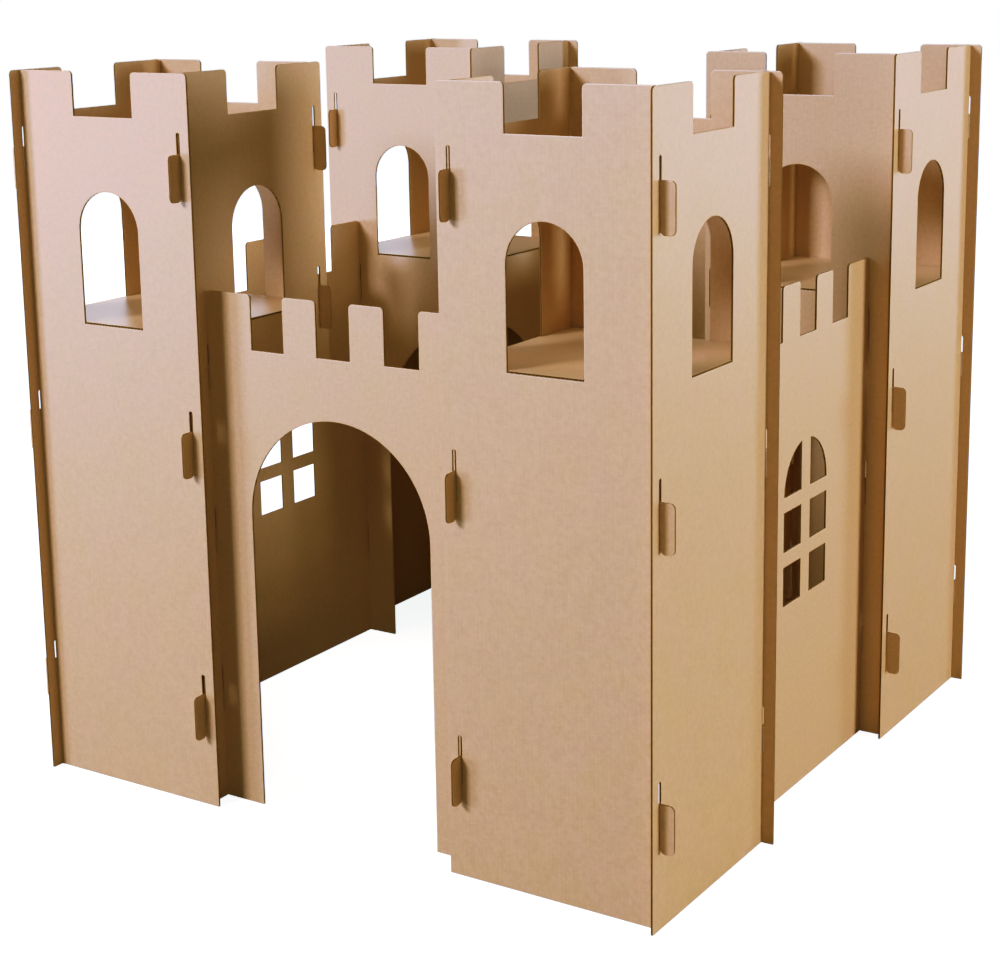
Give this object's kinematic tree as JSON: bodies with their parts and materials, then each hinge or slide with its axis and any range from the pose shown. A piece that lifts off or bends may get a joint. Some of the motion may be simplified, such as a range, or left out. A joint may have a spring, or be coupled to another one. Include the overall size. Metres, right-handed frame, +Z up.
{
  "type": "cardboard castle",
  "caption": "Child-size play castle slotted together from die-cut corrugated board: square corner towers with lookout floors, a gate wall and windowed curtain walls.",
  "frame": {"origin": "on the ground at the centre of the footprint", "axes": "+Z up, the gate faces -Y, +X to the right as seen from in front of the gate"},
  "size_m": [1.372, 1.372, 1.34],
  "materials": {
    "kraft_board": "matte, unprinted kraft liner on both faces, die-cut edges showing the flutes"
  },
  "bodies": {
    "root": {"back_left_tower_back_panel": "kraft_board", "back_left_tower_floor": "kraft_board", "back_left_tower_front_panel": "kraft_board", "back_left_tower_left_panel": "kraft_board", "back_left_tower_right_panel": "kraft_board", "back_right_tower_back_panel": "kraft_board", "back_right_tower_floor": "kraft_board", "back_right_tower_front_panel": "kraft_board", "back_right_tower_left_panel": "kraft_board", "back_right_tower_right_panel": "kraft_board", "back_wall": "kraft_board", "front_left_tower_back_panel": "kraft_board", "front_left_tower_floor": "kraft_board", "front_left_tower_front_panel": "kraft_board", "front_left_tower_left_panel": "kraft_board", "front_left_tower_right_panel": "kraft_board", "front_right_tower_back_panel": "kraft_board", "front_right_tower_floor": "kraft_board", "front_right_tower_front_panel": "kraft_board", "front_right_tower_left_panel": "kraft_board", "front_right_tower_right_panel": "kraft_board", "gate_wall": "kraft_board", "left_wall": "kraft_board", "right_wall": "kraft_board"}
  },
  "joints": []
}
